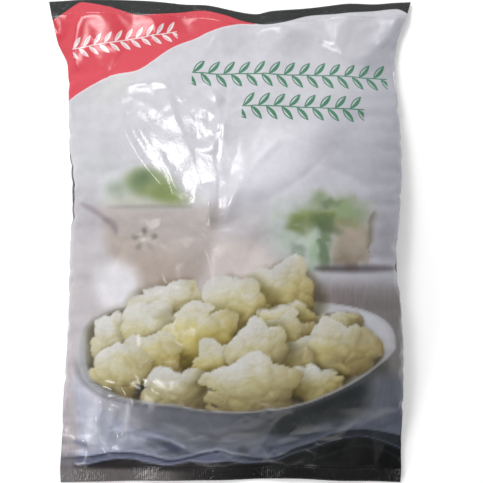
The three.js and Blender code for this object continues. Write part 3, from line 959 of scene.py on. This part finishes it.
# The dark band along the top and the dark back, which carries one bare pale panel with round corners
colour = nodes.mix(nodes.between(to_band, 0.35, -0.35), colour, shade(38, 41, 40))
back_cover = nodes.between(to_back, 0.3, -0.3)
colour = nodes.mix(back_cover, colour, shade(38, 41, 40))
panel_half = (72.0, 102.0)
panel_corner = 10.0
past_panel = [nodes.maths("MAXIMUM", nodes.maths("SUBTRACT", nodes.maths("ABSOLUTE", axis), half), 0.0)
              for axis, half in zip(nodes.axes(place), panel_half)]
squares = [nodes.maths("MULTIPLY", gap, gap) for gap in past_panel]
to_panel = nodes.maths("SQRT", nodes.maths("ADD", *squares))
panel_cover = nodes.between(to_panel, panel_corner + 0.3, panel_corner - 0.3)
panel_cover = nodes.maths("MULTIPLY", panel_cover, back_cover)
colour = nodes.mix(panel_cover, colour, shade(214, 214, 218))

# Gloss of the film, and as bump its finest wrinkles, and in both seals the jaws' ribs and rough weld
roughness = nodes.between(nodes.noise(film_place, 0.05, 3.0), 0.3, 0.7, 0.16, 0.26)
wrinkles = nodes.add("ShaderNodeTexVoronoi",
                     {"Vector": film_place, "Scale": 0.35, "Smoothness": 0.4, "Detail": 1.0},
                     feature="SMOOTH_F1").outputs["Distance"]
wrinkle_height = nodes.maths("MULTIPLY", wrinkles, nodes.between(crinkle_grain, 0.1, 1.0, 0.02, 0.15))
film_axes = nodes.axes(film_place)
rib_pitch = 1.4
rib_wave = nodes.maths("SINE", nodes.maths("MULTIPLY", film_axes[0], 2 * math.pi / rib_pitch))
rough_weld = nodes.maths("MULTIPLY", nodes.noise(film_place, 0.22, 3.0, distortion=1.0), 0.9)
rib_height = nodes.maths("MULTIPLY_ADD", rib_wave, 0.05, rough_weld)
in_seal = nodes.between(nodes.maths("ABSOLUTE", film_axes[1]), pouch_half_length - seal_depth - 0.5,
                        pouch_half_length - seal_depth + 0.5)
height = nodes.maths("MULTIPLY_ADD", rib_height, in_seal, wrinkle_height)
nodes.feed(surface, {"Base Color": colour, "Roughness": roughness, "Normal": nodes.bump(height),
                     "IOR": 1.5, "Specular IOR Level": 0.5})

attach(film_bag, "root")
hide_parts("bag")

# The tube was closed along the middle of its back: both edges of the film, laid inside to inside, are
# welded into one narrow fin, which is pressed flat against the back and runs into both end seals.
seam_steps = 3
seam_cover = 0.02
back_middle = fine_front + (fine_ring - fine_front) // 2
seam_top = film_points[:, back_middle - seam_steps:back_middle + seam_steps + 1] - [0, 0, seam_cover]
seam_top[..., 2] = np.maximum(seam_top[..., 2], seam_thickness - seam_cover)
seam_under = seam_top - [0, 0, seam_thickness - seam_cover]
seam_ring = np.concatenate([seam_top, seam_under[:, ::-1]], 1)


def strip_faces(rows, ring):
    """Quads round and along a closed strip of rings, and a flat cap at both of its ends."""
    i = np.arange(ring)
    r = np.arange(rows)[:, None] * ring
    sides = np.stack([r + i, r + ring + i, r + ring + (i + 1) % ring, r + (i + 1) % ring], -1)
    faces = sides.reshape(-1, 4).tolist()
    for start, outward in ((0, True), (rows * ring, False)):
        across_cap = np.arange(ring // 2 - 1)
        cap = np.stack([across_cap, across_cap + 1, ring - 2 - across_cap, ring - 1 - across_cap], -1) + start
        faces += (cap if outward else cap[:, ::-1]).tolist()
    return faces


back_seam = mesh_object("back_seam", seam_ring, strip_faces(fine_rows, seam_ring.shape[1]))

# Bare film without a picture: dark ink, with the fine weld lines of the sealing jaws across it
nodes, surface = new_material(back_seam, "seam_film")
seam_place = nodes.add("ShaderNodeTexCoord").outputs["Object"]
seam_light = nodes.between(nodes.noise(seam_place, 60.0, 4.0), 0.3, 0.7, 0.75, 1.2)
seam_colour = nodes.mix(1.0, shade(40, 43, 42), seam_light, "MULTIPLY")
weld_pitch = 0.0016
weld_wave = nodes.maths("MULTIPLY", nodes.axes(seam_place)[1], 2 * math.pi / weld_pitch)
weld_height = nodes.maths("MULTIPLY", nodes.maths("SINE", weld_wave), 0.1)
nodes.feed(surface, {"Base Color": seam_colour, "Roughness": 0.26, "Normal": nodes.bump(weld_height),
                     "IOR": 1.5})
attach(back_seam, "root")

# Plain pale floor and soft studio light: a room that is pale at its walls, dim overhead and dim below the
# bag's bottom end, a key light with a brighter middle past its top end, and two weak lights at its left
floor_half = 1500
floor_corners = floor_half * np.array([(-1, -1, 0), (1, -1, 0), (1, 1, 0), (-1, 1, 0)])
floor = mesh_object("floor", floor_corners, [(0, 1, 2, 3)])
nodes, surface = new_material(floor, "pale_floor")
nodes.feed(surface, {"Base Color": (0.97, 0.97, 0.97, 1), "Roughness": 0.9, "Specular IOR Level": 0.1,
                     "Emission Color": (1, 1, 1, 1), "Emission Strength": 0.3})

room = bpy.data.worlds.new("pale room")
room.use_nodes = True
nodes = Tree(room.node_tree)
towards = nodes.axes(nodes.add("ShaderNodeTexCoord").outputs["Generated"])
wall_light = nodes.between(towards[2], 0.45, 0.85, 0.85, 0.2)
room_light = nodes.maths("MULTIPLY", wall_light, nodes.between(towards[1], -0.8, -0.3, 0.35, 1.0))
nodes.feed(room.node_tree.nodes["Background"], {"Color": (1, 1, 1, 1), "Strength": room_light})
bpy.context.scene.world = room


def soft_light(name, place, size, power):
    """A square area light at a place, in metres, turned to the bag. A light's own -Z shines."""
    light = bpy.data.lights.new(name, "AREA")
    light.size = size
    light.energy = power
    lamp = bpy.data.objects.new(name, light)
    lamp.location = place
    bpy.context.scene.collection.objects.link(lamp)
    away = np.array(place) / np.linalg.norm(place)
    lamp.rotation_euler = (math.acos(away[2]), 0, math.atan2(away[0], -away[1]))


key_place = (-0.30, 0.635, 0.92)
soft_light("key light", key_place, 0.5, 4.8)
soft_light("key light's bright middle", key_place, 0.22, 2.6)
soft_light("lower left light", (-0.62, -0.97, 0.55), 0.3, 3.2)
soft_light("small left light", (-0.39, -0.23, 0.98), 0.12, 0.4)
